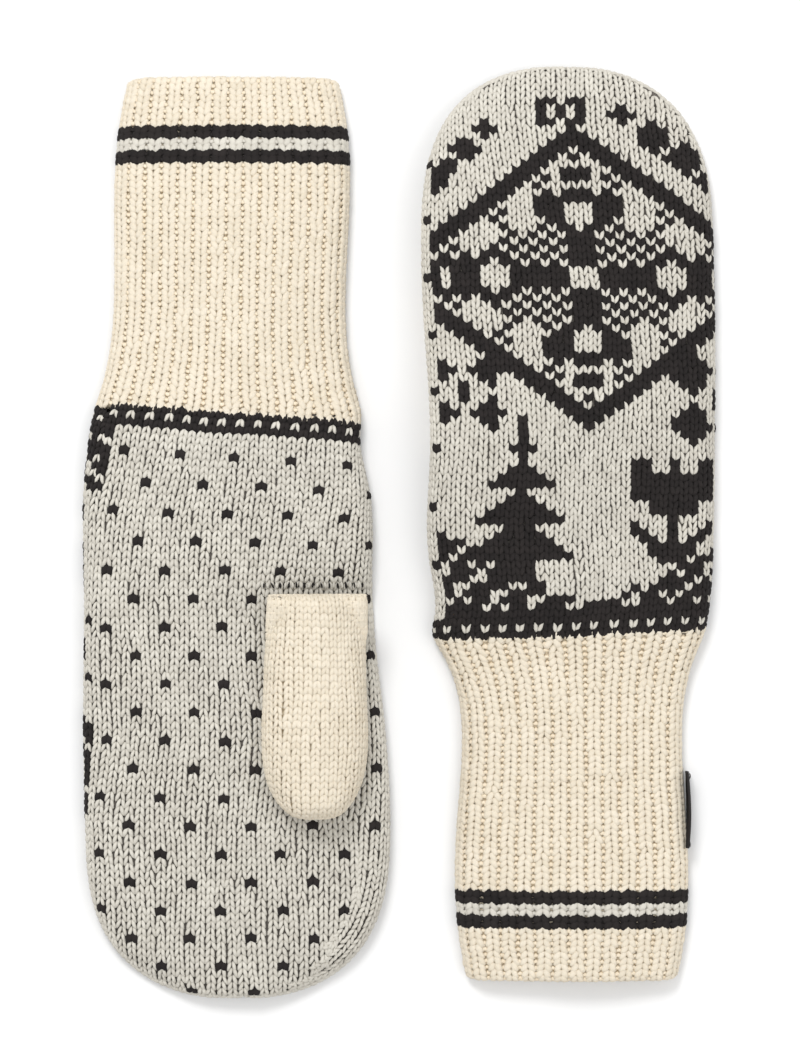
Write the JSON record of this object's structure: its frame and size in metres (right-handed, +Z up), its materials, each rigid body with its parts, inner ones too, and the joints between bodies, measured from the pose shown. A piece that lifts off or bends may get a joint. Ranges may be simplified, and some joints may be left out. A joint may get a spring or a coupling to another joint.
{
  "type": "knitted mittens",
  "caption": "Pair of long-cuffed stranded wool mittens with ribbed cuffs, lying flat, one palm up with its thumb on the palm and one back up.",
  "frame": {"origin": "on the table, midway between the two mittens and midway along the pair", "axes": "+Z up from the table, +Y along the right mitten's fingers (the left mitten's fingers point to -Y), +X from the left-hand mitten to the right-hand mitten"},
  "size_m": [0.2094, 0.308, 0.0319],
  "materials": {
    "rib_wool": "cream wool yarn in 1x1 rib",
    "charcoal_wool": "charcoal wool yarn in 1x1 rib",
    "pale_grey_wool": "pale grey wool yarn in 1x1 rib",
    "border_wool": "charcoal wool with single light stitches",
    "patterned_wool": "stranded two-colour knitting, charcoal figures on pale grey",
    "dotted_wool": "stranded knitting, single charcoal stitches on pale grey",
    "side_wool": "plain edge stitches in alternating yarns",
    "course_wool": "picked-up stitches in mixed yarns",
    "thumb_wool": "cream wool yarn in fine stockinette",
    "label_cloth": "black woven tape, blank",
    "sewing_thread": "black cotton thread"
  },
  "bodies": {
    "left_hand": {"left_wrist_border": "border_wool", "left_hand_back": "patterned_wool", "left_hand_palm": "dotted_wool", "left_hand_side_band": "side_wool", "left_thumb_course": "course_wool"},
    "left_cuff": {"left_cuff_hem": "rib_wool", "left_cuff_end_rib": "rib_wool", "left_cuff_dark_stripes": "charcoal_wool", "left_cuff_light_stripe": "pale_grey_wool", "left_cuff_rib": "rib_wool"},
    "left_thumb": {"left_thumb": "thumb_wool"},
    "right_hand": {"right_wrist_border": "border_wool", "right_hand_back": "patterned_wool", "right_hand_palm": "dotted_wool", "right_hand_side_band": "side_wool", "right_thumb_course": "course_wool"},
    "right_cuff": {"right_cuff_hem": "rib_wool", "right_cuff_end_rib": "rib_wool", "right_cuff_dark_stripes": "charcoal_wool", "right_cuff_light_stripe": "pale_grey_wool", "right_cuff_rib": "rib_wool", "right_label": "label_cloth", "right_label_stitches": "sewing_thread"},
    "right_thumb": {"right_thumb": "thumb_wool"}
  },
  "joints": [
    {"name": "left_wrist_bend", "type": "hinge", "parent": "left_hand", "child": "left_cuff", "pos_m": [-0.05665, 0.0396, 0.0146], "axis": [1, 0, 0], "range_deg": [0, 60]},
    {"name": "left_thumb_spread", "type": "hinge", "parent": "left_hand", "child": "left_thumb", "pos_m": [-0.02815, -0.027, 0.0153], "axis": [0.1736, 0, 0.9848], "range_deg": [0, 22]},
    {"name": "right_mitten_lift", "type": "slide", "parent": "left_hand", "child": "right_hand", "axis": [0, 0, 1], "range_m": [0, 0.12]},
    {"name": "right_wrist_bend", "type": "hinge", "parent": "right_hand", "child": "right_cuff", "pos_m": [0.05575, -0.0338, 0.0146], "axis": [-1, 0, 0], "range_deg": [0, 60]},
    {"name": "right_thumb_spread", "type": "hinge", "parent": "right_hand", "child": "right_thumb", "pos_m": [0.02725, 0.0328, 0.0085], "axis": [0.1305, 0, 0.9914], "range_deg": [0, 22]}
  ]
}
